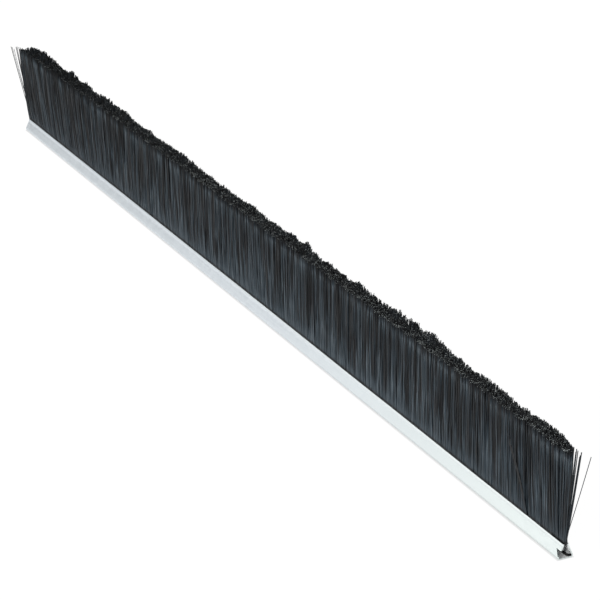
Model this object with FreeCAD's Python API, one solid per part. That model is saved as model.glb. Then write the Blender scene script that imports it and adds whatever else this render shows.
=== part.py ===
import FreeCAD, Part
import math
import os

# Metal-channel strip brush, the brush insert of a door sweep, in millimetres.
# A strip of galvanised sheet is folded into a channel.  Nylon filaments are folded in half
# round a core wire, pushed into the channel and gripped by its pinched lips.
# X runs along the strip, Y across it and Z up, from the channel's base towards the tips.
# The origin is on the underside of the base, at mid-length and mid-width.

# Overall sizes
strip_length = 914.4
overall_height = 76.2

# Folded channel
channel_width = 11.1
channel_height = 10.4
sheet = 0.8
base_corner_radius = 1.5
lip_width = 4.4
crease_width = 5.0
lip_depth = 2.2

# Core wire, with the bent end left where the strip was cut off
wire_diameter = 1.8
fold_thickness = 1.7
wire_bend_radius = 1.6
wire_bend_angle = 75.0
wire_reach = 0.5
wire_tail = 1.6

# Snipped notch low in the front wall at the +X end
notch_length = 5.1
notch_top = 6.0
notch_bottom = 2.4

# Bristles, in groups that bend one by one
bundle_count = 12
tip_width = 12.3
far_end_flare = 10.0
near_end_flare = 5.0
near_root_setback = 14.0
filament_diameter = 0.5
swing_limit = 35.0
pivot_rise = 0.5

# Stray filaments at each end: how far each leans out along X and Y per unit of height
stray_leans_left = [(-0.74, -0.018), (-0.42, -0.056)]
stray_leans_right = [(0.215, 0.112), (0.130, 0.036)]
stray_rise = 2.5
stray_spacing = 1.0
stray_root_depth = 1.5

# Clearances
moving_gap = 0.3
bundle_gap = 0.3
packing_gap = 0.05

# Worked out from the sizes above
half_length = strip_length / 2
half_sheet = sheet / 2
bundle_pitch = strip_length / bundle_count
lip_y = lip_width / 2 - half_sheet
lip_z = channel_height - half_sheet
crease_y = crease_width / 2 - half_sheet
crease_z = channel_height - lip_depth
corner_y = channel_width / 2 - base_corner_radius
corner_z = base_corner_radius
wire_radius = wire_diameter / 2
wire_z = sheet + fold_thickness + wire_radius
pivot_z = channel_height + pivot_rise
free_length = overall_height - channel_height


def tangent_point(centre_y, centre_z, radius, point_y, point_z):
    """Point where the line from a point touches a circle, on the circle's outer (+Y) side."""
    distance = math.hypot(point_y - centre_y, point_z - centre_z)
    towards_point = math.atan2(point_z - centre_z, point_y - centre_y)
    angle = towards_point - math.acos(radius / distance)
    return centre_y + radius * math.cos(angle), centre_z + radius * math.sin(angle), angle


def in_section(y, z):
    """A point of the cross-section, which lies in the plane X = 0."""
    return FreeCAD.Vector(0, y, z)


def line(start, end):
    """A straight edge."""
    return Part.LineSegment(start, end).toShape()


def arc(start, middle, end):
    """A round edge through three points."""
    return Part.Arc(start, middle, end).toShape()


def corner_arc(side, bend_radius, wall_angle):
    """Base corner of the folded sheet on one side (-1 or +1), from the base to the wall."""
    half_way = (wall_angle - math.pi / 2) / 2
    points = []
    for angle in (-math.pi / 2, half_way, wall_angle):
        y = side * (corner_y + bend_radius * math.cos(angle))
        points.append(in_section(y, corner_z + bend_radius * math.sin(angle)))
    return points


def sheet_midline():
    """Middle of the folded sheet from the front lip, round the base, to the back lip."""
    bend_radius = base_corner_radius - half_sheet
    wall_angle = tangent_point(corner_y, corner_z, bend_radius, crease_y, crease_z)[2]
    front = corner_arc(-1, bend_radius, wall_angle)
    back = corner_arc(1, bend_radius, wall_angle)
    edges = [
        line(in_section(-lip_y, lip_z), in_section(-crease_y, crease_z)),
        line(in_section(-crease_y, crease_z), front[2]),
        arc(front[2], front[1], front[0]),
        line(front[0], back[0]),
        arc(back[0], back[1], back[2]),
        line(back[2], in_section(crease_y, crease_z)),
        line(in_section(crease_y, crease_z), in_section(lip_y, lip_z)),
    ]
    return Part.Wire(edges)


def sheet_section(allowance):
    """Section of the folded sheet with rounded edges, grown all round by an allowance."""
    outline = sheet_midline().makeOffset2D(half_sheet + allowance)
    return Part.Face(outline)


def along_x(section, x_start, x_end):
    """Extrude a section that lies in the plane X = 0 from one X to another."""
    moved = section.copy()
    moved.translate(FreeCAD.Vector(x_start, 0, 0))
    return moved.extrude(FreeCAD.Vector(x_end - x_start, 0, 0))


def make_channel():
    """Folded channel, with the notch in its front wall at the +X end."""
    channel = along_x(sheet_section(0), -half_length, half_length)
    past_end = half_length + sheet
    corners = [
        FreeCAD.Vector(half_length - notch_length, 0, notch_top),
        FreeCAD.Vector(past_end, 0, notch_top),
        FreeCAD.Vector(past_end, 0, notch_bottom),
        FreeCAD.Vector(half_length - sheet, 0, notch_bottom),
    ]
    notch = Part.Face(Part.makePolygon(corners + corners[:1]))
    return channel.cut(notch.extrude(FreeCAD.Vector(0, -channel_width, 0)))


def make_core_wire():
    """Core wire along the whole strip, bent sideways past the +X end."""
    bend = math.radians(wire_bend_angle)
    bend_start = half_length + wire_reach
    points = []
    for angle in (0, bend / 2, bend):
        x = bend_start + wire_bend_radius * math.sin(angle)
        y = wire_bend_radius * (1 - math.cos(angle))
        points.append(FreeCAD.Vector(x, y, wire_z))
    tail = FreeCAD.Vector(math.cos(bend), math.sin(bend), 0) * wire_tail
    start = FreeCAD.Vector(-half_length, 0, wire_z)
    path = Part.Wire([line(start, points[0]), arc(*points), line(points[2], points[2] + tail)])
    section = Part.Wire(Part.makeCircle(wire_radius, start, FreeCAD.Vector(1, 0, 0)))
    return path.makePipeShell([section], True, False)


def pivot_radius():
    """Radius of the round foot on which a bundle rocks without reaching the lips."""
    lean = math.atan((tip_width - lip_width) / 2 / (overall_height - pivot_z))
    steepest = math.radians(swing_limit) + lean
    reach = lip_y * math.cos(steepest) + (pivot_z - lip_z) * math.sin(steepest)
    return reach - half_sheet - moving_gap


def root_section():
    """Filaments packed inside the channel, folded under and round the core wire."""
    midline = sheet_midline()
    mouth = line(in_section(lip_y, lip_z), in_section(-lip_y, lip_z))
    inside = Part.Face(Part.Wire(midline.Edges + [mouth]))
    inside = inside.cut(sheet_section(packing_gap))
    root_top = pivot_z - pivot_radius() - moving_gap
    above = Part.makePlane(channel_width, channel_height, in_section(-channel_width / 2, root_top),
                           FreeCAD.Vector(1, 0, 0), FreeCAD.Vector(0, 1, 0))
    hole = Part.makeCircle(wire_radius + packing_gap, in_section(0, wire_z),
                           FreeCAD.Vector(1, 0, 0))
    return inside.cut(above).cut(Part.Face(Part.Wire(hole)))


def bundle_section():
    """Free bristles: a round foot in the mouth, fanning out to the full width at the tips."""
    radius = pivot_radius()
    tip_y = tip_width / 2
    foot_y, foot_z, _ = tangent_point(0, pivot_z, radius, tip_y, overall_height)
    front_foot = in_section(-foot_y, foot_z)
    back_foot = in_section(foot_y, foot_z)
    front_tip = in_section(-tip_y, overall_height)
    back_tip = in_section(tip_y, overall_height)
    edges = [
        arc(front_foot, in_section(0, pivot_z - radius), back_foot),
        line(back_foot, back_tip),
        line(back_tip, front_tip),
        line(front_tip, front_foot),
    ]
    return Part.Face(Part.Wire(edges))


def bundle_span(index):
    """First and last X of one bundle at the mouth, with half the gap left at each joint."""
    start = -half_length + index * bundle_pitch
    end = start + bundle_pitch
    if index > 0:
        start += bundle_gap / 2
    if index < bundle_count - 1:
        end -= bundle_gap / 2
    return start, end


def make_bundle(section, index):
    """One group of free bristles; the first and the last lean out past the strip's ends."""
    start, end = bundle_span(index)
    start_tip = start - far_end_flare if index == 0 else start
    end_tip = end + near_end_flare if index == bundle_count - 1 else end
    corners = [
        FreeCAD.Vector(start, -tip_width, 0),
        FreeCAD.Vector(start, -tip_width, channel_height),
        FreeCAD.Vector(start_tip, -tip_width, overall_height),
        FreeCAD.Vector(end_tip, -tip_width, overall_height),
        FreeCAD.Vector(end, -tip_width, channel_height),
        FreeCAD.Vector(end, -tip_width, 0),
    ]
    side = Part.Face(Part.makePolygon(corners + corners[:1]))
    side_block = side.extrude(FreeCAD.Vector(0, 2 * tip_width, 0))
    return along_x(section, start_tip, end_tip).common(side_block)


def make_roots(section, index):
    """The part of one group that lies in the channel; the last stops short of the +X end."""
    start, end = bundle_span(index)
    if index == bundle_count - 1:
        end -= near_root_setback
    return along_x(section, start, end)


def make_strays(leans, side):
    """Single filaments splayed out of one end of the strip, rooted in its last bundle."""
    filaments = []
    for number, (lean_x, lean_y) in enumerate(leans):
        root_y = (number - 0.5) * stray_spacing
        mouth = FreeCAD.Vector(side * half_length, root_y, channel_height + stray_rise)
        direction = FreeCAD.Vector(lean_x, lean_y, 1).normalize()
        root = mouth - direction * stray_root_depth
        length = free_length - stray_rise + stray_root_depth
        filaments.append(Part.makeCylinder(filament_diameter / 2, length, root, direction))
    return Part.makeCompound(filaments)


def export(shape, node):
    """Write one node's STEP file."""
    shape.exportStep("parts/" + node + ".step")


def main():
    """Build every node."""
    os.makedirs("parts", exist_ok=True)
    export(make_channel(), "channel")
    export(make_core_wire(), "core_wire")
    roots = root_section()
    bristles = bundle_section()
    for index in range(bundle_count):
        number = "%02d" % (index + 1)
        export(make_roots(roots, index), "bristle_roots_" + number)
        export(make_bundle(bristles, index), "bristles_" + number)
    export(make_strays(stray_leans_left, -1), "stray_filaments_left")
    export(make_strays(stray_leans_right, 1), "stray_filaments_right")


main()
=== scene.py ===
"""Looks of a metal-channel strip brush, the brush insert of a door sweep.

A strip of galvanised sheet is folded into a channel.  Black nylon filaments are folded round a
core wire inside it and stand up through its pinched lips.  X runs along the strip, Y across it
and Z up towards the tips.  Lengths in the classes are in millimetres and meshes are in metres.
"""
import logging
import math
from dataclasses import astuple, dataclass, field
from enum import Enum

import bpy
import mathutils
import numpy as np
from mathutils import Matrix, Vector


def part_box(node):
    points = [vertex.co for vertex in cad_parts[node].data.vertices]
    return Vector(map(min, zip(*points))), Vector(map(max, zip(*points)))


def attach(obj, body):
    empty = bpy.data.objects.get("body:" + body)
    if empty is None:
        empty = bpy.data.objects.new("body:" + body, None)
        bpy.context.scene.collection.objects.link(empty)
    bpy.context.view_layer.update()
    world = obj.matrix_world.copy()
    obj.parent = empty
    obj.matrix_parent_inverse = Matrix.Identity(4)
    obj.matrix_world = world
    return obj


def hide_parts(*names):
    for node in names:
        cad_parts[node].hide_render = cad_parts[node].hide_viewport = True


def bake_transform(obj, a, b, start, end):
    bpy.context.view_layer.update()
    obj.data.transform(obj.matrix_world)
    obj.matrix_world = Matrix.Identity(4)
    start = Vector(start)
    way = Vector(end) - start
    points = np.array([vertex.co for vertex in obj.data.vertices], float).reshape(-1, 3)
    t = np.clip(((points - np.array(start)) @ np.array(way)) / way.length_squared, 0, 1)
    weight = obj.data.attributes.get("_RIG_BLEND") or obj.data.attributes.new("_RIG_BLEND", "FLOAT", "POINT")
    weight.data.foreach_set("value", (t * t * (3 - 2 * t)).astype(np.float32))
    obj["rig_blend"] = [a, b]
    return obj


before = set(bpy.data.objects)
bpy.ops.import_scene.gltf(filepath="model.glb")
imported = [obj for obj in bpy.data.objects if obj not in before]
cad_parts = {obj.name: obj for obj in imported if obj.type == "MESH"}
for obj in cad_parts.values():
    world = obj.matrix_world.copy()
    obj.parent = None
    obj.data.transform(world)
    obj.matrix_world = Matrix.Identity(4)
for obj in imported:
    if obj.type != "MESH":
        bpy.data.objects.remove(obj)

log = logging.getLogger("strip_brush")

MM = 0.001
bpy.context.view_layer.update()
ROOT_BODY = "strip"
BAKE_MAP = "OFBake"
GOLDEN_STEP = 0.6180339887
CHANNEL_SEED = 5


class End(Enum):
    """The two ends of the strip, by the sign of X."""

    FAR = -1
    NEAR = 1


class Lane(Enum):
    """What a ring of the channel's section lies on."""

    OUTSIDE = 0
    INSIDE = 1


# ---------------------------------------------------------------------------------------------
# Small helpers
# ---------------------------------------------------------------------------------------------


def linear(hex_colour: str) -> tuple[float, float, float, float]:
    """Turn an sRGB hex colour into linear RGBA.

    Args:
        hex_colour: six hex digits, such as "c8ccd0".

    Returns:
        Linear red, green, blue and an alpha of 1.
    """
    channels = [int(hex_colour[i:i + 2], 16) / 255 for i in (0, 2, 4)]
    bent = [c / 12.92 if c <= 0.04045 else ((c + 0.055) / 1.055) ** 2.4 for c in channels]
    return (*bent, 1.0)


def add_node(tree: bpy.types.NodeTree, kind: str, inputs: dict | None = None,
             stops: tuple[tuple[float, str], ...] = (), **settings: object) -> bpy.types.Node:
    """Add one shader node with its settings, values and links.

    Args:
        tree: node tree to add to.
        kind: Blender's node type name.
        inputs: socket name or number to a value, or to an output socket to link from.
        stops: positions from 0 to 1 with their sRGB hex colours, for a colour ramp.
        settings: attributes of the node itself.

    Returns:
        The new node.
    """
    node = tree.nodes.new(kind)
    for name, value in settings.items():
        setattr(node, name, value)
    for name, value in (inputs or {}).items():
        socket = node.inputs[name]
        if isinstance(value, bpy.types.NodeSocket):
            tree.links.new(value, socket)
        else:
            socket.default_value = value
    if stops:
        elements = node.color_ramp.elements
        while len(elements) < len(stops):
            elements.new(0.5)
        for element, (position, colour) in zip(elements, stops):
            element.position = position
            element.color = linear(colour)
    return node


def start_material(name: str,
                   constants: dict[str, float]) -> tuple[bpy.types.Material, bpy.types.Node]:
    """Start a node material and set the values that are the same all over it.

    Args:
        name: name of the material.
        constants: the shader's socket name to its value.

    Returns:
        The material and its shader.
    """
    material = bpy.data.materials.new(name)
    material.use_nodes = True
    shader = material.node_tree.nodes["Principled BSDF"]
    for socket, value in constants.items():
        shader.inputs[socket].default_value = value
    return material, shader


def smooth_noise(x: np.ndarray, spacing: float, rng: np.random.Generator) -> np.ndarray:
    """Seeded smooth noise of about unit size along one axis.

    Random values stand at evenly spaced places and are joined by a cosine ease.

    Args:
        x: places to read the noise at.
        spacing: distance between the random values.
        rng: seeded generator.

    Returns:
        One value for each place.
    """
    steps = (x - x.min()) / spacing
    table = rng.normal(size=int(steps.max()) + 3)
    low = np.floor(steps).astype(int)
    ease = 0.5 - 0.5 * np.cos(np.pi * (steps - low))
    return table[low] * (1 - ease) + table[low + 1] * ease


@dataclass
class MeshArrays:
    """Vertices and faces of one mesh, as whole arrays, in millimetres."""

    vertices: np.ndarray
    loops: np.ndarray
    sizes: np.ndarray
    uv: np.ndarray | None = None
    material: np.ndarray | None = None
    attributes: dict[str, np.ndarray] = field(default_factory=dict)

    def to_object(self, name: str, materials: list[bpy.types.Material],
                  smooth: bool = True) -> bpy.types.Object:
        """Make a Blender object at the origin.

        Args:
            name: name of the piece.
            materials: materials in slot order.
            smooth: whether faces are shaded smooth.

        Returns:
            The new object, linked to the scene.
        """
        mesh = bpy.data.meshes.new(name)
        mesh.vertices.add(len(self.vertices))
        mesh.vertices.foreach_set("co", (self.vertices * MM).astype(np.float32).ravel())
        mesh.loops.add(len(self.loops))
        mesh.loops.foreach_set("vertex_index", self.loops.astype(np.int32))
        mesh.polygons.add(len(self.sizes))
        starts = np.concatenate([[0], np.cumsum(self.sizes)[:-1]])
        mesh.polygons.foreach_set("loop_start", starts.astype(np.int32))
        if self.material is not None:
            mesh.polygons.foreach_set("material_index", self.material.astype(np.int32))
        mesh.update(calc_edges=True)
        mesh.polygons.foreach_set("use_smooth", np.full(len(self.sizes), smooth))
        if self.uv is not None:
            layer = mesh.uv_layers.new(name=BAKE_MAP)
            layer.data.foreach_set("uv", self.uv.astype(np.float32).ravel())
        for key, values in self.attributes.items():
            attribute = mesh.attributes.new(key, "FLOAT", "POINT")
            attribute.data.foreach_set("value", values.astype(np.float32))
        for material in materials:
            mesh.materials.append(material)
        mesh.validate()
        piece = bpy.data.objects.new(name, mesh)
        bpy.context.scene.collection.objects.link(piece)
        return piece


def apply_modifiers(piece: bpy.types.Object) -> None:
    """Replace a piece's mesh with what its modifiers make of it, and drop them.

    Args:
        piece: piece to change in place.
    """
    graph = bpy.context.evaluated_depsgraph_get()
    result = bpy.data.meshes.new_from_object(piece.evaluated_get(graph))
    piece.modifiers.clear()
    piece.data = result


def unit(vectors: np.ndarray) -> np.ndarray:
    """Scale vectors in the last axis to length one."""
    return vectors / np.linalg.norm(vectors, axis=-1, keepdims=True)


def tubes(paths: np.ndarray, radius: np.ndarray, sides: int, across: tuple[float, float, float],
          attributes: dict[str, np.ndarray]) -> MeshArrays:
    """Round closed tubes along many paths at once.

    Each ring is the path's point plus radius times (cos a times the first cross direction plus
    sin a times the second); the first is the tangent crossed with a fixed direction.  Each tube
    has its own upright lane in the bake map, and its two end caps lie at the lane's ends.

    Args:
        paths: centre lines, as tubes by points by 3.
        radius: radius at each point, as tubes by points, or broadcast to it.
        sides: corners round each ring.
        across: fixed direction that is never along a path.
        attributes: values for each point of each path, carried to its ring.

    Returns:
        The tubes; end caps have material index 1 and walls have 0.
    """
    count, rings, _ = paths.shape
    tangent = unit(np.gradient(paths, axis=1))
    first = unit(np.cross(tangent, np.array(across)))
    second = np.cross(tangent, first)
    angle = np.arange(sides) * 2 * np.pi / sides
    size = np.broadcast_to(radius, (count, rings))[..., None, None]
    circle = (np.cos(angle)[:, None] * first[:, :, None] + np.sin(angle)[:, None] * second[:, :, None])
    vertices = (paths[:, :, None] + size * circle).reshape(-1, 3)

    index = np.arange(count * rings * sides).reshape(count, rings, sides)
    turned = np.roll(index, -1, axis=2)
    walls = np.stack([index[:, :-1], turned[:, :-1], turned[:, 1:], index[:, 1:]], axis=-1)
    bottoms = index[:, 0, ::-1]
    tops = index[:, -1]
    loops = np.concatenate([walls.reshape(-1), bottoms.reshape(-1), tops.reshape(-1)])
    wall_count = count * (rings - 1) * sides
    sizes = np.concatenate([np.full(wall_count, 4), np.full(2 * count, sides)])
    material = np.concatenate([np.zeros(wall_count), np.ones(2 * count)])

    fill = 0.9
    cap_band = 0.02
    cap_radius = 0.4
    lane = np.arange(count)[:, None, None] / count
    side_u = np.arange(sides)[None, None, :] / sides * fill
    step_u = fill / sides
    row = cap_band + (1 - 2 * cap_band) * np.arange(rings) / (rings - 1)
    left = np.broadcast_to(lane + side_u / count, (count, rings - 1, sides))
    right = left + step_u / count
    low = np.broadcast_to(row[None, :-1, None], left.shape)
    high = np.broadcast_to(row[None, 1:, None], left.shape)
    wall_uv = np.stack([left, low, right, low, right, high, left, high], axis=-1).reshape(-1, 2)
    centre_u = (np.arange(count)[:, None] + fill / 2) / count
    cap_u = centre_u + cap_radius / count * np.cos(angle)[None]
    cap_v = 0.5 * cap_band + cap_radius * cap_band * np.sin(angle)[None] + np.zeros((count, 1))
    bottom_uv = np.stack([cap_u[:, ::-1], cap_v[:, ::-1]], axis=-1).reshape(-1, 2)
    top_uv = np.stack([cap_u, 1 - cap_band + cap_v], axis=-1).reshape(-1, 2)
    uv = np.concatenate([wall_uv, bottom_uv, top_uv])

    carried = {key: np.repeat(np.broadcast_to(values, (count, rings)).reshape(-1), sides)
               for key, values in attributes.items()}
    return MeshArrays(vertices, loops, sizes, uv, material, carried)


def swept(rings: np.ndarray) -> MeshArrays:
    """Closed solid from a row of closed sections.

    Neighbouring sections are joined by quads and the first and last are closed by one face.
    A section runs anticlockwise when seen from the last section towards the first.

    Args:
        rings: points as sections by corners by 3.

    Returns:
        The closed solid.
    """
    rows, around, _ = rings.shape
    index = np.arange(rows * around).reshape(rows, around)
    turned = np.roll(index, -1, axis=1)
    walls = np.stack([index[:-1], turned[:-1], turned[1:], index[1:]], axis=-1)
    loops = np.concatenate([walls.reshape(-1), index[0, ::-1], index[-1]])
    sizes = np.concatenate([np.full(walls.size // 4, 4), [around, around]])
    return MeshArrays(rings.reshape(-1, 3), loops, sizes)


# ---------------------------------------------------------------------------------------------
# Finishes
# ---------------------------------------------------------------------------------------------


@dataclass(frozen=True)
class GalvanisedSheet:
    """Hot-dip galvanised steel sheet, skin-passed smooth and roll formed.

    The zinc is pale and slightly blue, with a faint spangle and fine drawn lines along the
    strip from the forming rolls.  The top of the lips carries a painted highlight, brightest
    towards +X and falling to painted shade towards -X.
    The lines are about five times as wide as real ones, so that they show.
    """

    zinc: str = "d7dde1"
    zinc_dull: str = "cbd2d7"
    # Painted reflection: a warmer zinc tint towards +X, for the surroundings reflected there.
    zinc_painted_reflection_tint: str = "d3dad9"
    # Painted highlight along the top band of the lips, dimmed to painted shade towards -X.
    lip_painted_shade: str = "c2c9ce"
    lip_painted_highlight: str = "eaf0f0"
    reflection_tint_x_mm: tuple[float, float] = (50.0, 400.0)
    lip_highlight_z_mm: tuple[float, float] = (8.2, 9.4)
    lip_highlight_x_mm: tuple[float, float] = (-250.0, 360.0)
    roughness: float = 0.36
    spangle_mm: float = 3.0
    drawn_line_mm: float = 0.3
    drawn_length_mm: float = 90.0
    drawn_depth_mm: float = 0.02

    def material(self) -> bpy.types.Material:
        """Build the node material.

        Returns:
            The new material.
        """
        material, shader = start_material("galvanised_sheet", {"Metallic": 1.0})
        tree = material.node_tree
        place = add_node(tree, "ShaderNodeTexCoord").outputs["Object"]
        lines_place = add_node(tree, "ShaderNodeMapping", {
            "Vector": place,
            "Scale": (1 / (self.drawn_length_mm * MM), 1 / (self.drawn_line_mm * MM),
                      1 / (self.drawn_line_mm * MM))}).outputs["Vector"]
        lines = add_node(tree, "ShaderNodeTexNoise", {"Vector": lines_place, "Scale": 1.0,
                                                      "Detail": 3.0}).outputs["Fac"]
        spangle = add_node(tree, "ShaderNodeTexVoronoi", {
            "Vector": place, "Scale": 1 / (self.spangle_mm * MM), "Randomness": 1.0})
        grain = add_node(tree, "ShaderNodeSeparateColor",
                         {"Color": spangle.outputs["Color"]}).outputs["Red"]
        mixed = add_node(tree, "ShaderNodeMath", {0: grain, 1: 0.3, 2: lines},
                         operation="MULTIPLY_ADD").outputs[0]
        tint = add_node(tree, "ShaderNodeValToRGB", {"Fac": mixed},
                        ((0.3, self.zinc_dull), (0.9, self.zinc))).outputs["Color"]
        axes = add_node(tree, "ShaderNodeSeparateXYZ", {"Vector": place}).outputs
        reflection_tint, lip_highlight_band, wear_and_highlight = [add_node(tree, "ShaderNodeMapRange", {
            "Value": axes[axis], "From Min": low * MM, "From Max": high * MM}).outputs[0]
            for axis, (low, high) in (("X", self.reflection_tint_x_mm), ("Z", self.lip_highlight_z_mm),
                                      ("X", self.lip_highlight_x_mm))]
        # Painted reflection tint, growing towards +X.
        tint = add_node(tree, "ShaderNodeMix", {0: reflection_tint, 6: tint, 7: linear(self.zinc_painted_reflection_tint)},
                        data_type="RGBA").outputs[2]
        # Painted highlight on the top band of the lips: brighter towards +X, painted shade towards -X.
        lip = add_node(tree, "ShaderNodeValToRGB", {"Fac": wear_and_highlight},
                       ((0.0, self.lip_painted_shade), (1.0, self.lip_painted_highlight))).outputs["Color"]
        tint = add_node(tree, "ShaderNodeMix", {0: lip_highlight_band, 6: tint, 7: lip},
                        data_type="RGBA").outputs[2]
        tree.links.new(tint, shader.inputs["Base Color"])
        rough = add_node(tree, "ShaderNodeMapRange", {
            "Value": mixed, "From Min": 0.3, "From Max": 0.9,
            "To Min": self.roughness - 0.04, "To Max": self.roughness + 0.05}).outputs[0]
        tree.links.new(rough, shader.inputs["Roughness"])
        bump = add_node(tree, "ShaderNodeBump", {
            "Height": lines, "Strength": 0.2,
            "Distance": self.drawn_depth_mm * MM}).outputs["Normal"]
        tree.links.new(bump, shader.inputs["Normal"])
        return material


@dataclass(frozen=True)
class PaintedLightZinc:
    """Inner side of the galvanised sheet, never rolled bright: painted pale and matt, as painted light."""

    # Painted light: the pale white stands in for the light that falls into the open near end.
    painted_light_white: str = "f6f7f7"
    bare: str = "dfe2e3"
    roughness: float = 0.7
    patch_mm: float = 1.6

    def material(self) -> bpy.types.Material:
        """Build the node material.

        Returns:
            The new material.
        """
        material, shader = start_material("galvanised_sheet_inner_painted_light", {
            "Metallic": 0.0, "Roughness": self.roughness})
        tree = material.node_tree
        place = add_node(tree, "ShaderNodeTexCoord").outputs["Object"]
        patches = add_node(tree, "ShaderNodeTexNoise", {
            "Vector": place, "Scale": 1 / (self.patch_mm * MM), "Detail": 4.0}).outputs["Fac"]
        tint = add_node(tree, "ShaderNodeValToRGB", {"Fac": patches},
                        ((0.35, self.bare), (0.6, self.painted_light_white))).outputs["Color"]
        tree.links.new(tint, shader.inputs["Base Color"])
        return material


@dataclass(frozen=True)
class AnnealedWire:
    """Black annealed steel wire: a thin dark oxide, drawn and a little scaly.

    The scale is a few times as coarse as real scale, so that it shows.
    """

    oxide: str = "1b1b1e"
    wear_and_highlight: str = "33322f"
    roughness: float = 0.5
    scale_mm: float = 0.8
    scale_depth_mm: float = 0.03

    def material(self) -> bpy.types.Material:
        """Build the node material.

        Returns:
            The new material.
        """
        material, shader = start_material("annealed_wire", {
            "Metallic": 1.0, "Roughness": self.roughness})
        tree = material.node_tree
        place = add_node(tree, "ShaderNodeTexCoord").outputs["Object"]
        scale = add_node(tree, "ShaderNodeTexNoise", {
            "Vector": place, "Scale": 1 / (self.scale_mm * MM), "Detail": 4.0}).outputs["Fac"]
        tint = add_node(tree, "ShaderNodeValToRGB", {"Fac": scale},
                        ((0.4, self.oxide), (0.75, self.wear_and_highlight))).outputs["Color"]
        tree.links.new(tint, shader.inputs["Base Color"])
        bump = add_node(tree, "ShaderNodeBump", {
            "Height": scale, "Strength": 0.4,
            "Distance": self.scale_depth_mm * MM}).outputs["Normal"]
        tree.links.new(bump, shader.inputs["Normal"])
        return material


@dataclass(frozen=True)
class BlackNylon:
    """Extruded black nylon 6 filament.

    The wall is smooth with a soft shine along the filament.  Each filament is a slightly
    different blue-black.  The shade is the filament's tone times a factor of the height share,
    and the colour ramp turns it to a colour.  That factor is painted light and shade: a painted
    dark line just above the mouth, painted light near the channel, painted shade growing
    upwards, easing just below the tips, and the darkest painted shade at the tips.
    """

    shades: tuple[tuple[float, str], ...] = ((0.0, "020406"), (0.3, "0e171e"), (0.6, "303c44"),
                                             (1.0, "6c7982"))
    # Painted light and shade by height share: dark just above the mouth, lightest near the channel, darker
    # upwards, darkest at the tips.
    painted_light_by_height: tuple[tuple[float, float], ...] = ((0.0, 0.07), (0.052, 0.07), (0.072, 1.0), (0.11, 1.0),
                                             (0.2, 0.87), (0.42, 0.69), (0.65, 0.55), (0.8, 0.52),
                                             (0.93, 0.72), (0.98, 0.42), (1.0, 0.25))
    index: float = 1.53
    shine: float = 0.35
    roughness: float = 0.42

    def material(self) -> bpy.types.Material:
        """Build the node material; it reads the point attributes tone and reach.

        Returns:
            The new material.
        """
        material, shader = start_material("black_nylon", {
            "IOR": self.index, "Specular IOR Level": self.shine})
        tree = material.node_tree
        tone = add_node(tree, "ShaderNodeAttribute", attribute_name="tone").outputs["Fac"]
        reach = add_node(tree, "ShaderNodeAttribute", attribute_name="reach").outputs["Fac"]
        painted_height_factor = add_node(tree, "ShaderNodeFloatCurve", {"Value": reach})
        points = painted_height_factor.mapping.curves[0].points
        while len(points) < len(self.painted_light_by_height):
            points.new(0.5, 0.5)
        for point, place in zip(points, self.painted_light_by_height):
            point.location = place
            point.handle_type = "VECTOR"
        painted_height_factor.mapping.update()
        shade = add_node(tree, "ShaderNodeMath", {0: tone, 1: painted_height_factor.outputs[0]},
                         operation="MULTIPLY").outputs[0]
        tint = add_node(tree, "ShaderNodeValToRGB", {"Fac": shade},
                        self.shades).outputs["Color"]
        tree.links.new(tint, shader.inputs["Base Color"])
        rough = add_node(tree, "ShaderNodeMapRange", {
            "Value": tone, "To Min": self.roughness + 0.12,
            "To Max": self.roughness - 0.08}).outputs[0]
        tree.links.new(rough, shader.inputs["Roughness"])
        return material


@dataclass(frozen=True)
class CutNylon:
    """Sheared ends of the black nylon filaments, torn matt; a few are whitened to grey."""

    dark: str = "0a0a0a"
    pale: str = "e4edec"
    index: float = 1.53
    shine: float = 0.25
    roughness: float = 0.75

    def material(self) -> bpy.types.Material:
        """Build the node material; it reads the point attribute torn.

        Returns:
            The new material.
        """
        material, shader = start_material("cut_nylon", {
            "IOR": self.index, "Specular IOR Level": self.shine, "Roughness": self.roughness})
        tree = material.node_tree
        torn = add_node(tree, "ShaderNodeAttribute", attribute_name="torn").outputs["Fac"]
        tint = add_node(tree, "ShaderNodeValToRGB", {"Fac": torn},
                        ((0.42, self.dark), (0.95, self.pale))).outputs["Color"]
        tree.links.new(tint, shader.inputs["Base Color"])
        return material


@dataclass(frozen=True)
class LightTable:
    """White translucent acrylic light table: it glows evenly and scatters a little.

    Under and just beside the strip the glow is turned down: a painted contact shadow.
    """

    white: str = "f4f4f4"
    scatter: float = 0.18
    glow: float = 0.97
    painted_shadow_glow: float = 0.68
    painted_shadow_y_mm: tuple[float, float] = (5.5, 6.8)
    painted_shadow_end_mm: tuple[float, float] = (457.2, 458.5)

    def material(self) -> bpy.types.Material:
        """Build the node material.

        Returns:
            The new material.
        """
        material, shader = start_material("acrylic_light_table", {
            "Roughness": 1.0, "Specular IOR Level": 0.0, "Emission Strength": 1.0})
        tree = material.node_tree
        place = add_node(tree, "ShaderNodeTexCoord").outputs["Object"]
        axes = add_node(tree, "ShaderNodeSeparateXYZ", {"Vector": place}).outputs
        clear = []
        # Painted contact shadow: the glow drops in a band round the strip's footprint.
        for axis, (low, high) in (("Y", self.painted_shadow_y_mm), ("X", self.painted_shadow_end_mm)):
            away = add_node(tree, "ShaderNodeMath", {0: axes[axis]}, operation="ABSOLUTE")
            clear.append(add_node(tree, "ShaderNodeMapRange", {
                "Value": away.outputs[0], "From Min": low * MM, "From Max": high * MM,
                "To Min": self.painted_shadow_glow, "To Max": self.glow}).outputs[0])
        glow = add_node(tree, "ShaderNodeMath", {0: clear[0], 1: clear[1]},
                        operation="MAXIMUM").outputs[0]
        tree.links.new(glow, shader.inputs["Emission Color"])
        white = linear(self.white)
        shader.inputs["Base Color"].default_value = (*(self.scatter * c for c in white[:3]), 1.0)
        return material


# ---------------------------------------------------------------------------------------------
# The strip
# ---------------------------------------------------------------------------------------------


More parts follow.
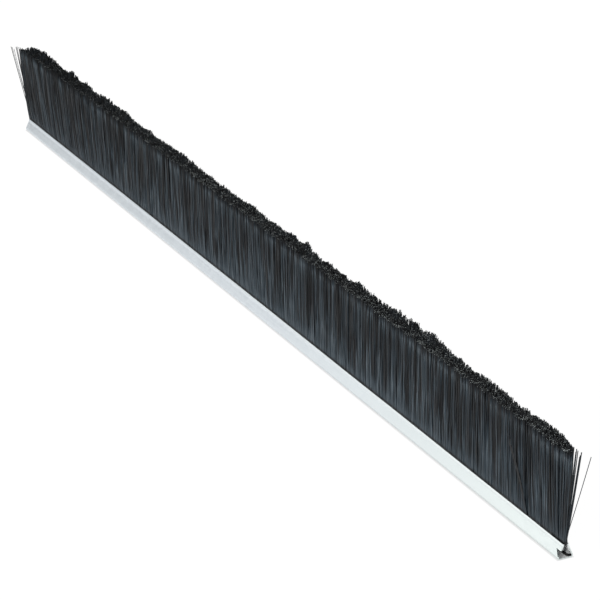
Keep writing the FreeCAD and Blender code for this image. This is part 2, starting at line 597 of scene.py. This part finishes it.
@dataclass
class Channel:
    """Folded sheet channel with pinched lips, a rounded base and a snipped notch."""

    sheet: float = 0.8
    corner_radius: float = 1.5
    lip_width: float = 4.4
    crease_width: float = 5.0
    lip_depth: float = 2.2
    notch_length: float = 5.1
    notch_top: float = 6.0
    notch_bottom: float = 2.4
    notch_inside: float = -1.2
    cutter_spare: float = 1.0
    stations: int = 230
    lip_points: int = 5
    sway: float = 0.06
    sway_length: float = 55.0
    pinch: float = 0.03
    pinch_length: float = 30.0
    sharp_angle: float = 40.0

    def __post_init__(self) -> None:
        """Read the outer size from the frame."""
        self.low, self.high = (np.array(corner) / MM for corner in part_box("channel"))

    def midline(self) -> np.ndarray:
        """Middle of the sheet across the section, from the front lip to the back lip.

        Half the base, a round base corner, a straight wall and a straight lip are worked out
        for the back side and mirrored to the front.  The wall touches the corner's circle.

        Returns:
            Points as (y, z).
        """
        half = self.sheet / 2
        bend = self.corner_radius - half
        centre = np.array([self.high[1] - self.corner_radius, self.corner_radius])
        crease = np.array([self.crease_width / 2 - half, self.high[2] - self.lip_depth])
        lip = np.array([self.lip_width / 2 - half, self.high[2] - half])
        to_crease = crease - centre
        wall = math.atan2(to_crease[1], to_crease[0]) - math.acos(bend / np.hypot(*to_crease))
        angle = np.linspace(-math.pi / 2, wall, 10)
        corner = centre + bend * np.stack([np.cos(angle), np.sin(angle)], axis=1)
        base = np.stack([np.linspace(0, centre[0], 5)[:-1], np.full(4, half)], axis=1)
        up_wall = corner[-1] + np.linspace(0, 1, 8)[1:-1, None] * (crease - corner[-1])
        up_lip = crease + np.linspace(0, 1, 4)[:, None] * (lip - crease)
        back = np.concatenate([base, corner, up_wall, up_lip])
        front = back[:0:-1] * [-1, 1]
        return np.concatenate([front, back])

    def section(self) -> np.ndarray:
        """Closed outline of the sheet: the midline moved half a sheet to each side.

        Each lip ends in a half circle.

        Returns:
            Points as (y, z), anticlockwise when seen from +X.
        """
        middle = self.midline()
        along = unit(np.gradient(middle, axis=0))
        outward = np.stack([along[:, 1], -along[:, 0]], axis=1)
        half = self.sheet / 2
        turn = np.linspace(0, math.pi, self.lip_points + 2)[1:-1, None]
        back_lip = middle[-1] + half * (np.cos(turn) * outward[-1] + np.sin(turn) * along[-1])
        front_lip = middle[0] - half * (np.cos(turn) * outward[0] + np.sin(turn) * along[0])
        return np.concatenate([middle + half * outward, back_lip,
                               (middle - half * outward)[::-1], front_lip])

    def walls(self, rng: np.random.Generator) -> MeshArrays:
        """Carry the section along X.

        The walls wander by a few hundredths of a millimetre, most at the lips: y gains a
        smooth noise of x times the height above the base, and a second noise opens and
        closes the gap between the lips.

        Args:
            rng: seeded generator.

        Returns:
            The channel as one closed mesh.
        """
        outline = self.section()
        x = np.linspace(self.low[0], self.high[0], self.stations)
        middle_count = len(self.midline())
        corner = np.arange(len(outline))
        first_inside = middle_count + self.lip_points
        inside = (corner >= first_inside) & (corner < first_inside + middle_count - 1)
        sway = smooth_noise(x, self.sway_length, rng) * self.sway
        pinch = smooth_noise(x, self.pinch_length, rng) * self.pinch
        lift = outline[:, 1] / self.high[2]
        side = np.sign(outline[:, 0])
        y = outline[None, :, 0] + lift * (sway[:, None] + pinch[:, None] * side)
        z = np.broadcast_to(outline[None, :, 1], y.shape)
        arrays = swept(np.stack([np.broadcast_to(x[:, None], y.shape), y, z], axis=-1))
        lane = np.where(inside, Lane.INSIDE.value, Lane.OUTSIDE.value)
        arrays.material = np.concatenate([np.tile(lane, len(x) - 1), [0, 0]])
        return arrays

    def notch_cutter(self) -> bpy.types.Object:
        """Wedge that cuts the notch out of the front wall at the near end.

        Returns:
            The cutter, to be removed after use.
        """
        end = self.high[0]
        past = end + self.cutter_spare
        x = np.array([end - self.notch_length, end - self.sheet, past, past])
        z = np.array([self.notch_top, self.notch_bottom, self.notch_bottom, self.notch_top])
        y = np.array([self.notch_inside, self.low[1] - self.cutter_spare])[:, None]
        rings = np.stack(np.broadcast_arrays(x[None], y, z[None]), axis=-1)
        return swept(rings).to_object("notch_cutter", [])

    def build(self, rng: np.random.Generator, finish: GalvanisedSheet,
              inner: PaintedLightZinc) -> bpy.types.Object:
        """Make the channel, cut its notch and dress it.

        Args:
            rng: seeded generator.
            finish: finish of the outer side of the sheet.
            inner: finish of the inner side.

        Returns:
            The finished piece.
        """
        materials = [finish.material(), inner.material()]
        piece = self.walls(rng).to_object("folded_channel", materials)
        cutter = self.notch_cutter()
        boolean = piece.modifiers.new("notch", "BOOLEAN")
        boolean.operation = "DIFFERENCE"
        boolean.solver = "EXACT"
        boolean.object = cutter
        apply_modifiers(piece)
        bpy.data.objects.remove(cutter)
        piece.data.set_sharp_from_angle(angle=math.radians(self.sharp_angle))
        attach(piece, ROOT_BODY)
        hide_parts("channel")
        return piece


@dataclass
class CoreWire:
    """Core wire along the strip, bent sideways where it leaves the near end."""

    diameter: float = 1.8
    bend_radius: float = 1.6
    bend_angle: float = 75.0
    reach: float = 0.5
    tail: float = 1.6
    centre_z: float = 3.4
    nipped: tuple[float, float] = (0.86, 0.55)
    sharp_angle: float = 50.0
    sides: int = 20

    def path(self, half_length: float) -> np.ndarray:
        """Centre line: a long straight run, a round bend towards +Y and a short tail.

        Args:
            half_length: half the strip's length.

        Returns:
            Points as (x, y, z).
        """
        bend = math.radians(self.bend_angle)
        run = np.linspace(-half_length, half_length + self.reach, 40)
        turn = np.linspace(0, bend, 10)[1:]
        bend_x = run[-1] + self.bend_radius * np.sin(turn)
        bend_y = self.bend_radius * (1 - np.cos(turn))
        out = np.linspace(0, self.tail, 5)[1:]
        x = np.concatenate([run, bend_x, bend_x[-1] + out * math.cos(bend)])
        y = np.concatenate([0 * run, bend_y, bend_y[-1] + out * math.sin(bend)])
        return np.stack([x, y, np.full_like(x, self.centre_z)], axis=1)

    def build(self, half_length: float, finish: AnnealedWire) -> bpy.types.Object:
        """Make the wire; its cut end is nipped down to a blunt wedge.

        Args:
            half_length: half the strip's length.
            finish: finish of the wire.

        Returns:
            The finished piece.
        """
        path = self.path(half_length)
        radius = np.full(len(path), self.diameter / 2)
        radius[-2:] *= self.nipped
        arrays = tubes(path[None], radius[None], self.sides, (0, 0, 1), {})
        material = finish.material()
        piece = arrays.to_object("core_wire_drawn", [material, material])
        piece.data.set_sharp_from_angle(angle=math.radians(self.sharp_angle))
        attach(piece, ROOT_BODY)
        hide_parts("core_wire")
        return piece


@dataclass(frozen=True)
class RaisedPatch:
    """A stretch of the row whose back tufts were trimmed long, or short for a negative rise."""

    middle: float
    half_width: float
    rise: float


@dataclass(frozen=True)
class Stray:
    """One filament splayed out of an end.

    It stands an inset from the end, at foot_y across the mouth, and starts a drop below it.
    Leans are sideways travel for each unit of height, bow is the half sine's size, width is
    the diameter and extra is length past the row's height.
    """

    inset: float
    lean_x: float
    foot_y: float
    lean_y: float
    bow: float
    width: float
    drop: float
    extra: float


@dataclass
class BristleRow:
    """The whole row of nylon filaments, dealt out to the bundles that bend one by one.

    Paired numbers such as a wave's are its length along the strip and its size.  Scatters
    are along X, Y and Z.  The fields ending in _x and the ones named after them are curves.
    """

    # Where the filaments stand in the mouth.
    filament: float = 0.5
    legs_per_mm: float = 17.0
    end_legs: int = 90
    mouth_half_width: float = 1.15
    face_pull: float = 0.8
    root_depth: float = 3.0
    short_root: float = 0.7
    short_root_length: float = 14.0
    # How they cling in tufts and were combed.
    tuft_widths: tuple[float, float] = (1.3, 2.7)
    layers: int = 4
    gather: float = 0.36
    far_decay: float = 130.0
    comb_x: tuple[float, ...] = (-457.0, -330.0, -200.0, 0.0, 100.0, 300.0, 400.0, 430.0, 457.0)
    comb_lean: tuple[float, ...] = (0.0, 0.0, 6.0, 5.0, 6.5, 6.0, 4.0, 1.0, 0.0)
    spread_power: float = 0.72
    # Shade along the strip and up each filament.
    # The middle shade is lower at both ends: painted shade that holds back the stronger shine at the far end
    # and the end lights at the near end.
    shade_x: tuple[float, ...] = (-457.0, -250.0, 0.0, 300.0, 457.0)
    shade: tuple[float, ...] = (0.41, 0.53, 0.62, 0.61, 0.43)
    strand_x: tuple[float, ...] = (-457.0, 0.0, 457.0)
    strand_mm: tuple[float, ...] = (2.2, 1.4, 0.9)
    streaks: tuple[float, ...] = (0.02, 0.04, 0.2, 0.65, 1.0, 1.2, 1.3, 1.3)
    own_change: float = 0.2
    ring_change: float = 0.2
    shared_change: float = 0.4
    darker: float = 1.4
    paler: float = 0.45
    tone_lift: float = 0.08
    # The crossing strand is painted almost black: a painted shadow line along it.
    crossed_painted_shadow: float = -1.2
    tone_floor: float = 0.02
    # Whitened cut ends.
    torn_x: tuple[float, ...] = (-457.0, -350.0, -150.0, 50.0)
    torn: tuple[float, ...] = (-0.12, -0.07, 0.02, 0.07)
    torn_floor: float = 0.25
    torn_own: float = 0.5
    torn_shared: float = 0.32
    torn_patch: float = 1.3
    shade_depth: float = 2.5
    # Scatter and lean of the tips.
    tip_inset: float = 0.3
    tuft_scatter: tuple[float, float, float] = (0.35, 0.4, 0.3)
    tip_scatter: tuple[float, float, float] = (0.85, 0.3, 0.42)
    loose_share: float = 0.06
    loose_scatter: float = 2.4
    slow_lean: tuple[float, float] = (45.0, 0.9)
    quick_lean: tuple[float, float] = (6.0, 0.35)
    trim_wave: tuple[float, float] = (18.0, 0.3)
    # Trimmed height.
    trim_rise: float = 0.3
    back_rise: float = 0.2
    patch_power: float = 2.6
    patch_uneven: float = 0.35
    back_slope: float = 1.6
    far_drop: float = 2.4
    far_drop_length: float = 12.0
    # How the near end fans out.
    near_decay: float = 30.0
    near_edge_y: tuple[float, ...] = (-6.15, -2.0, 1.6, 4.0, 6.15)
    near_edge_x: tuple[float, ...] = (7.0, 8.0, 3.0, -7.0, -14.0)
    near_edge_z: tuple[float, ...] = (0.2, -0.2, 0.0, -0.8, -1.8)
    # The strand that crosses its neighbours.
    crossed_at: float = 413.0
    crossed_x: tuple[float, ...] = (0.0, -0.2, -1.3, -4.4, -9.4, -16.8, -23.0, -27.0)
    crossed_y: tuple[float, ...] = (-1.0, -2.2, -3.05, -3.85, -4.6, -5.05, -4.7, -4.3)
    crossed_count: int = 20
    crossed_front: float = -0.55
    crossed_squeeze: float = 0.5
    crossed_ripple: tuple[float, float] = (0.1, 9.0)
    # Height shares of each filament's rings, and how much it bows.
    rings: tuple[float, ...] = (0.0, 0.065, 0.17, 0.32, 0.48, 0.65, 0.83, 1.0)
    bow: float = 0.3
    wave: float = 0.18
    raised: tuple[RaisedPatch, ...] = (
        RaisedPatch(-421.0, 28.0, 2.6), RaisedPatch(-361.0, 8.0, 3.2), RaisedPatch(-330.0, 12.0, 1.5),
        RaisedPatch(-281.0, 25.0, 2.3), RaisedPatch(-241.0, 14.0, 1.7), RaisedPatch(-195.0, 6.0, 1.3),
        RaisedPatch(-140.0, 30.0, 0.9), RaisedPatch(-60.0, 8.0, -0.9), RaisedPatch(0.0, 12.0, 1.0),
        RaisedPatch(25.0, 8.0, -0.8), RaisedPatch(67.0, 8.0, 2.0), RaisedPatch(93.0, 7.0, 2.8),
        RaisedPatch(115.0, 10.0, -1.0), RaisedPatch(140.0, 14.0, -1.0),
        RaisedPatch(158.0, 5.0, -1.6), RaisedPatch(174.0, 8.0, 1.5), RaisedPatch(230.0, 12.0, 2.0),
        RaisedPatch(253.0, 9.0, 2.8), RaisedPatch(281.0, 17.0, 2.5), RaisedPatch(335.0, 8.0, -1.2),
        RaisedPatch(397.0, 28.0, -1.4), RaisedPatch(445.0, 18.0, -0.6))
    # Single filaments splayed out of the ends.
    stray_rise: float = 2.5
    far_strays: tuple[Stray, ...] = (
        Stray(0.0, -0.76, -0.5, -0.018, -0.7, 0.56, 0.7, 5.2),
        Stray(0.9, -0.73, 0.3, -0.03, -1.0, 0.44, 0.7, 4.5),
        Stray(0.5, -0.62, 0.0, -0.03, -0.6, 0.4, 0.7, 1.0),
        Stray(0.0, -0.42, 0.5, -0.056, -0.9, 0.6, 0.7, 0.8),
        Stray(0.4, -0.45, -0.2, -0.02, -1.2, 0.56, 0.7, 1.2),
        Stray(1.2, -0.43, -0.4, 0.0, -0.8, 0.6, 0.7, 0.5))
    near_strays: tuple[Stray, ...] = (
        Stray(0.0, 0.215, -0.5, 0.112, 0.3, 0.5, 0.7, 0.0),
        Stray(0.2, 0.130, 0.5, 0.036, 0.4, 0.7, 5.4, 0.5),
        Stray(0.5, 0.124, 0.2, 0.04, 0.7, 0.62, 0.7, -2.0),
        Stray(0.4, 0.112, -0.3, 0.05, 0.3, 0.5, 5.6, -3.5),
        Stray(0.3, 0.088, -0.6, 0.04, 0.6, 0.62, 0.7, 0.3),
        Stray(0.6, 0.075, -0.9, 0.04, 0.9, 0.62, 0.7, 1.0))
    stray_rings: int = 20
    stray_sides: int = 8
    stray_tone: float = 0.35
    stray_torn: float = 0.9
    stray_reach: float = 0.3
    # How far above the mouth the bend is spread, and the mesh itself.
    bend_height: float = 22.0
    seed: int = 11
    sides: int = 5

    def __post_init__(self) -> None:
        """Read the row's size from the frame."""
        first = np.array(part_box("bristles_02")) / MM
        self.tip_half_width = first[1, 1]
        self.top = first[1, 2]
        self.half_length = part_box("channel")[1][0] / MM
        self.mouth_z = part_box("channel")[1][2] / MM
        self.bundles = sorted(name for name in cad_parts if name.startswith("bristles_"))
        self.pitch = 2 * self.half_length / len(self.bundles)
        self.far_flare = -self.half_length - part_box(self.bundles[0])[0][0] / MM

    def feet(self, rng: np.random.Generator) -> tuple[np.ndarray, np.ndarray]:
        """Where each filament leaves the mouth.

        X is evenly stepped with a jitter of most of a step, and a few more stand at the near
        end, where they spread most.  Y fills the mouth by steps of the golden ratio and is
        drawn towards both faces: it is mixed with the sine of a quarter turn times itself.

        Args:
            rng: seeded generator.

        Returns:
            X in millimetres and Y as a share of the mouth's half width, from -1 to 1.
        """
        count = int(2 * self.half_length * self.legs_per_mm)
        step = (np.arange(count) + rng.uniform(0.2, 0.8, count)) / count
        x = (2 * step - 1) * (self.half_length - self.filament / 2)
        extra = self.half_length - rng.uniform(0.4, self.short_root_length, self.end_legs)
        x = np.sort(np.concatenate([x, extra]))
        count = len(x)
        even = 2 * np.mod(np.arange(count) * GOLDEN_STEP + rng.uniform(0, 0.2, count), 1) - 1
        return x, (1 - self.face_pull) * even + self.face_pull * np.sin(math.pi / 2 * even)

    def layer_of(self, share: np.ndarray) -> np.ndarray:
        """Number of each filament's layer, counted from the front."""
        return np.minimum((share + 1) / 2 * self.layers, self.layers - 1).astype(int)

    def tufts(self, x: np.ndarray, share: np.ndarray,
              rng: np.random.Generator) -> tuple[np.ndarray, np.ndarray]:
        """Deal the filaments out to tufts that cling together at their tips.

        The mouth is split into layers from front to back; each layer is split along X at
        places a random width apart.

        Args:
            x: X at the mouth.
            share: share of the half width.
            rng: seeded generator.

        Returns:
            Number of each filament's tuft, and X of the middle of that tuft.
        """
        layer = self.layer_of(share)
        number = np.zeros(len(x), dtype=int)
        middle = np.zeros(len(x))
        first = 0
        for each in range(self.layers):
            width = rng.uniform(*self.tuft_widths, int(2 * self.half_length))
            edges = -self.half_length - 1 + np.concatenate([[0], np.cumsum(width)])
            mine = layer == each
            cell = np.searchsorted(edges, x[mine]) - 1
            number[mine] = first + cell
            middle[mine] = 0.5 * (edges[cell] + edges[cell + 1])
            first += len(edges)
        return number, middle

    def tips(self, x: np.ndarray, share: np.ndarray, rng: np.random.Generator) -> np.ndarray:
        """Where each filament ends.

        Y fans out in proportion to the share.  X gains a slow lean, the flare near both ends,
        a pull towards the middle of its tuft and a small scatter.  Z is the trimmed height
        with a slow wave, a step from tuft to tuft, the raised patches and a small scatter.

        Args:
            x: X at the mouth.
            share: share of the half width, from -1 to 1.
            rng: seeded generator.

        Returns:
            Tip points as (x, y, z).
        """
        count = len(x)
        number, middle = self.tufts(x, share, rng)
        per_tuft = rng.normal(size=(3, number.max() + 1))[:, number]
        tuft_x, tuft_y, tuft_z = self.tuft_scatter
        scatter_x, scatter_y, scatter_z = self.tip_scatter
        tip_y = (share * (self.tip_half_width - self.tip_inset) + per_tuft[1] * tuft_y
                 + rng.normal(size=count) * scatter_y)
        lean = np.interp(x, self.comb_x, self.comb_lean)
        for length, size in (self.slow_lean, self.quick_lean):
            lean += smooth_noise(x, length, rng) * size
        loose = rng.uniform(size=count) < self.loose_share
        scatter = rng.normal(size=count) * np.where(loose, self.loose_scatter, scatter_x)
        tip_x = x + lean + (middle - x) * self.gather + per_tuft[0] * tuft_x + scatter
        tip_x -= self.far_flare * np.exp(-((x + self.half_length) / self.far_decay) ** 2)
        at_end = np.clip(1 - (self.half_length - x) / self.near_decay, 0, 1) ** 2
        tip_x += at_end * np.interp(tip_y, self.near_edge_y, self.near_edge_x)
        back = np.clip(share * self.back_slope, 0, 1)
        raised = sum(patch.rise * np.exp(-np.abs((tip_x - patch.middle) / patch.half_width)
                                         ** self.patch_power) for patch in self.raised)
        wave_length, wave_size = self.trim_wave
        tip_z = (self.top + self.trim_rise + smooth_noise(x, wave_length, rng) * wave_size
                 + per_tuft[2] * tuft_z + rng.normal(size=count) * scatter_z
                 + back * (self.back_rise + raised * (1 + self.patch_uneven * per_tuft[0])))
        tip_z += at_end * np.interp(tip_y, self.near_edge_y, self.near_edge_z)
        tip_z -= self.far_drop * np.exp(-(x + self.half_length) / self.far_drop_length)
        return np.stack([tip_x, tip_y, tip_z], axis=1)

    def cross_over(self, x: np.ndarray, share: np.ndarray, paths: np.ndarray) -> np.ndarray:
        """Lead one strand of the front layer in a curve across its neighbours.

        Args:
            x: X at the mouth.
            share: share of the half width.
            paths: centre lines, changed in place for the strand.

        Returns:
            Whether each filament belongs to the strand.
        """
        near = np.where(share < self.crossed_front, np.abs(x - self.crossed_at), np.inf)
        strand = np.zeros(len(x), dtype=bool)
        strand[np.argsort(near)[:self.crossed_count]] = True
        side = self.crossed_squeeze * (x[strand] - self.crossed_at)
        depth, turns = self.crossed_ripple
        paths[strand, :, 0] = self.crossed_at + side[:, None] + np.array(self.crossed_x)
        paths[strand, :, 1] = np.array(self.crossed_y) + depth * np.sin(turns * side)[:, None]
        return strand

    def paths(self, x: np.ndarray, share: np.ndarray, tips: np.ndarray,
              rng: np.random.Generator) -> np.ndarray:
        """Centre line of every filament.

        Each goes from its foot to its tip: sideways it moves by a power of the height share
        below one, so that it fans out at the mouth and stands straighter above.  A half sine
        and a full sine of random size bow it, so that neighbours pass before one another.

        Args:
            x: X at the mouth.
            share: share of the half width.
            tips: tip points.
            rng: seeded generator.

        Returns:
            Points as filaments by rings by 3.
        """
        up = np.array(self.rings)[None]
        near_end = x > self.half_length - self.short_root_length
        depth = np.where(near_end, self.short_root, self.root_depth)
        foot_z = (self.mouth_z - depth)[:, None]
        bow = rng.normal(size=(2, len(x), 1)) * self.bow * np.sin(np.pi * up)
        bow += rng.normal(size=(2, len(x), 1)) * self.wave * np.sin(2 * np.pi * up)
        foot_y = share[:, None] * self.mouth_half_width
        spread = up ** self.spread_power
        path_x = x[:, None] + (tips[:, :1] - x[:, None]) * spread + bow[0]
        path_y = foot_y + (tips[:, 1:2] - foot_y) * spread + bow[1]
        path_z = foot_z + (tips[:, 2:] - foot_z) * up
        return np.stack([path_x, path_y, path_z], axis=-1)

    def tones(self, x: np.ndarray, strand: np.ndarray, rng: np.random.Generator) -> np.ndarray:
        """Shade of each filament, from 0 to 1.

        A slow middle shade along the strip is changed for every filament and at every ring.
        Neighbours in one strand share part of the change over three rings, and the change
        grows towards the tips.  A strand is one to two millimetres wide.

        Args:
            x: X at the mouth.
            strand: whether the filament belongs to the strand that crosses over.
            rng: seeded generator.

        Returns:
            Tones as filaments by rings; each filament also varies a little along itself.
        """
        rings = len(self.rings)
        change = self.own_change * rng.normal(size=(len(x), 1))
        change = change + self.ring_change * rng.normal(size=(len(x), rings))
        strand_width = np.interp(x, self.strand_x, self.strand_mm)
        place = np.cumsum(np.gradient(x) / strand_width)
        shared = np.stack([smooth_noise(place, 1.0, rng) for _ in range(rings)], axis=1)
        change += self.shared_change * (shared + np.roll(shared, 1, axis=1)
                                        + np.roll(shared, 2, axis=1))
        change = np.where(change < 0, self.darker * change, self.paler * change)
        change += self.tone_lift
        # Painted shadow: the crossing strand is pushed to the darkest tone.
        change[strand] = self.crossed_painted_shadow
        middle = np.interp(x, self.shade_x, self.shade)[:, None]
        return np.clip(middle + change * np.array(self.streaks), self.tone_floor, 1)

    def torn_ends(self, x: np.ndarray, share: np.ndarray, rng: np.random.Generator) -> np.ndarray:
        """How far the shears whitened each end, around 0 to 1.

        Half is a random value of its own; the rest is shared by neighbours a millimetre or
        two apart in the same layer, and it grows along the strip.

        Args:
            x: X at the mouth.
            share: share of the half width.
            rng: seeded generator.

        Returns:
            One value for each filament.
        """
        layer = self.layer_of(share)
        patches = np.stack([smooth_noise(x, self.torn_patch, rng) for _ in range(self.layers)])
        torn = (self.torn_floor + self.torn_own * rng.uniform(size=len(x))
                + self.torn_shared * patches[layer, np.arange(len(x))])
        return torn + np.interp(x, self.torn_x, self.torn)

    def build(self, finish: BlackNylon, cut: CutNylon) -> list[bpy.types.Object]:
        """Make one piece per bundle.

        Args:
            finish: finish of the filament walls.
            cut: finish of the cut ends.

        Returns:
            The finished pieces.
        """
        rng = np.random.default_rng(self.seed)
        x, share = self.feet(rng)
        tips = self.tips(x, share, rng)
        paths = self.paths(x, share, tips, rng)
        strand = self.cross_over(x, share, paths)
        tone = self.tones(x, strand, rng)
        torn = self.torn_ends(x, share, rng)
        shade_z = self.mouth_z - self.shade_depth
        reach = (paths[:, :, 2] - shade_z) / (self.top - shade_z)
        materials = [finish.material(), cut.material()]
        owner = np.minimum(((x + self.half_length) / self.pitch).astype(int),
                           len(self.bundles) - 1)
        pieces = []
        for number, node in enumerate(self.bundles):
            mine = owner == number
            suffix = node.split("_")[1]
            marks = {"tone": tone[mine], "torn": torn[mine, None],
                     "reach": np.clip(reach[mine], 0, 1)}
            arrays = tubes(paths[mine], np.array(self.filament / 2), self.sides, (0, 1, 0), marks)
            piece = arrays.to_object("nylon_bristles_" + suffix, materials)
            self.attach(piece, number)
            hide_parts(node, "bristle_roots_" + suffix)
            pieces.append(piece)
        pieces.append(self.strays(End.FAR, materials))
        pieces.append(self.strays(End.NEAR, materials))
        return pieces

    def attach(self, piece: bpy.types.Object, number: int) -> None:
        """Bend a piece with one bundle: fixed below the mouth and free at the bend height.

        Args:
            piece: piece to attach.
            number: bundle, counted from 0 at the -X end.
        """
        body = "bundle_" + self.bundles[number].split("_")[1]
        middle = (-self.half_length + (number + 0.5) * self.pitch) * MM
        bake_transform(piece, ROOT_BODY, body, start=(middle, 0, self.mouth_z * MM),
                 end=(middle, 0, (self.mouth_z + self.bend_height) * MM))

    def strays(self, end: End, materials: list[bpy.types.Material]) -> bpy.types.Object:
        """Single filaments splayed out of one end of the strip.

        Above the mouth a stray leans by a fixed share of its height and bows a little: its
        offset is the lean times the height above the anchor, plus the bow times a half sine.
        Below the mouth it runs straight down, some as far as the core wire.

        Args:
            end: which end of the strip.
            materials: wall and cut materials.

        Returns:
            The finished piece.
        """
        strays = self.far_strays if end is End.FAR else self.near_strays
        numbers = np.array([astuple(stray) for stray in strays]).T[:, :, None]
        inset, lean_x, foot_y, lean_y, bow, width, drop, extra = numbers
        up = np.linspace(0, 1, self.stray_rings)[None]
        anchor = self.mouth_z + self.stray_rise
        slant = np.sqrt(1 + lean_x ** 2 + lean_y ** 2)
        tip_z = anchor + (self.top - anchor + extra) / slant
        z = self.mouth_z - drop + (tip_z - self.mouth_z + drop) * up
        height = np.maximum(z, self.mouth_z) - anchor
        rise = np.sin(np.pi * (height + self.stray_rise) / (tip_z - self.mouth_z))
        x = end.value * (self.half_length - inset) + lean_x * height + bow * rise
        y = foot_y + lean_y * height
        paths = np.stack([x, y, z], axis=-1)
        marks = {key: np.full((len(paths), 1), value) for key, value in (
            ("tone", self.stray_tone), ("torn", self.stray_torn), ("reach", self.stray_reach))}
        arrays = tubes(paths, width / 2, self.stray_sides, (0, 1, 0), marks)
        side = "left" if end is End.FAR else "right"
        piece = arrays.to_object("nylon_strays_" + side, materials)
        self.attach(piece, 0 if end is End.FAR else len(self.bundles) - 1)
        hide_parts("stray_filaments_" + side)
        return piece


@dataclass(frozen=True)
class Softbox:
    """One square soft light; place, aim and size are in metres and power in watts."""

    name: str
    place: tuple[float, float, float]
    aim: tuple[float, float, float]
    size: float
    power: float

    def hang(self) -> None:
        """Hang the light and point it; the camera doesn't see it."""
        data = bpy.data.lights.new(self.name, "AREA")
        data.size = self.size
        data.energy = self.power
        light = bpy.data.objects.new(self.name, data)
        light.location = self.place
        direction = mathutils.Vector(self.aim) - mathutils.Vector(self.place)
        light.rotation_euler = direction.to_track_quat("-Z", "Y").to_euler()
        light.visible_camera = False
        bpy.context.scene.collection.objects.link(light)


@dataclass
class Studio:
    """Glowing white table, soft light from all round, and the camera.

    Places are in metres and angles in degrees.
    """

    floor_size: float = 12.0
    floor_z_mm: float = -0.05
    camera_place: tuple[float, float, float] = (1.6362, -0.7767, 0.7597)
    azimuth: float = 63.328
    elevation: float = 22.697
    roll: float = 0.15
    focal: float = 153.65
    sensor: float = 36.0
    far_clip: float = 50.0
    sky_side: float = 2.3
    sky_side_y: tuple[float, float] = (-0.75, -0.43)
    sky_back: float = 0.8
    sky_back_y: tuple[float, float] = (0.1, 0.7)
    sky_zenith: float = 0.5
    sky_zenith_z: float = 0.85
    softboxes: tuple[Softbox, ...] = (
        Softbox("front_softbox", (0.4, -2.2, 1.6), (0.0, 0.0, 0.04), 1.6, 6.0),
        Softbox("end_softbox", (2.2, -0.5, 0.35), (0.457, 0.0, 0.005), 0.8, 5.0),
        Softbox("end_kicker", (0.8, -0.28, 0.07), (0.457, 0.0, 0.005), 0.14, 0.5))

    def camera(self) -> None:
        """Place the camera; azimuth turns from -Y towards +X and elevation looks down."""
        az, el, roll = (math.radians(a) for a in (self.azimuth, self.elevation, self.roll))
        back = np.array([math.sin(az) * math.cos(el), -math.cos(az) * math.cos(el), math.sin(el)])
        right = unit(np.cross(-back, [0, 0, 1]))
        up = np.cross(back, right)
        rolled_right = math.cos(roll) * right + math.sin(roll) * up
        rolled_up = math.cos(roll) * up - math.sin(roll) * right
        data = bpy.data.cameras.new("camera")
        data.lens = self.focal
        data.sensor_width = self.sensor
        data.clip_end = self.far_clip
        view = bpy.data.objects.new("camera", data)
        turn = mathutils.Matrix(np.stack([rolled_right, rolled_up, back], axis=1).tolist())
        view.matrix_world = mathutils.Matrix.Translation(self.camera_place) @ turn.to_4x4()
        bpy.context.scene.collection.objects.link(view)
        bpy.context.scene.camera = view

    def floor(self, finish: LightTable) -> None:
        """Lay the floor just under the channel.

        Args:
            finish: finish of the floor.
        """
        half = self.floor_size / 2
        corners = np.array([[-half, -half], [half, -half], [half, half], [-half, half]]) / MM
        corners = np.column_stack([corners, np.full(4, self.floor_z_mm)])
        table = MeshArrays(corners, np.arange(4), np.array([4]))
        table.to_object("light_table", [finish.material()])

    def world(self) -> None:
        """Soft white surroundings.

        The strength is bright towards -Y and a little bright towards +Y, times a factor that
        falls from the horizon to the zenith.  The backdrop itself is seen plain white.
        """
        world = bpy.data.worlds.new("studio")
        world.use_nodes = True
        tree = world.node_tree
        direction = add_node(tree, "ShaderNodeTexCoord").outputs["Generated"]
        axes = add_node(tree, "ShaderNodeSeparateXYZ", {"Vector": direction}).outputs
        side = add_node(tree, "ShaderNodeMapRange", {
            "Value": axes["Y"], "From Min": self.sky_side_y[0], "From Max": self.sky_side_y[1],
            "To Min": self.sky_side, "To Max": 0.0}).outputs[0]
        back = add_node(tree, "ShaderNodeMapRange", {
            "Value": axes["Y"], "From Min": self.sky_back_y[0], "From Max": self.sky_back_y[1],
            "To Min": 0.0, "To Max": self.sky_back}).outputs[0]
        both = add_node(tree, "ShaderNodeMath", {0: side, 1: back}).outputs[0]
        rise = add_node(tree, "ShaderNodeMapRange", {
            "Value": axes["Z"], "From Min": 0.0, "From Max": self.sky_zenith_z,
            "To Min": 1.0, "To Max": self.sky_zenith}).outputs[0]
        light = add_node(tree, "ShaderNodeMath", {0: both, 1: rise},
                         operation="MULTIPLY").outputs[0]
        seen = add_node(tree, "ShaderNodeLightPath").outputs["Is Camera Ray"]
        strength = add_node(tree, "ShaderNodeMath", {0: light, 1: seen},
                            operation="MAXIMUM").outputs[0]
        background = tree.nodes["Background"]
        background.inputs["Color"].default_value = (1, 1, 1, 1)
        tree.links.new(strength, background.inputs["Strength"])
        bpy.context.scene.world = world

    def build(self) -> None:
        """Set up floor, light, surroundings and camera."""
        bpy.context.scene.view_settings.view_transform = "Standard"
        self.world()
        self.floor(LightTable())
        for softbox in self.softboxes:
            softbox.hang()
        self.camera()


def main() -> None:
    """Build the studio and the strip."""
    logging.basicConfig(level=logging.INFO, format="%(message)s")
    Studio().build()
    rng = np.random.default_rng(CHANNEL_SEED)
    channel = Channel()
    pieces = [channel.build(rng, GalvanisedSheet(), PaintedLightZinc())]
    pieces.append(CoreWire().build(channel.high[0], AnnealedWire()))
    pieces.extend(BristleRow().build(BlackNylon(), CutNylon()))
    for piece in pieces:
        log.info("%s: %d faces", piece.name, len(piece.data.polygons))


if __name__ == "__main__":
    main()
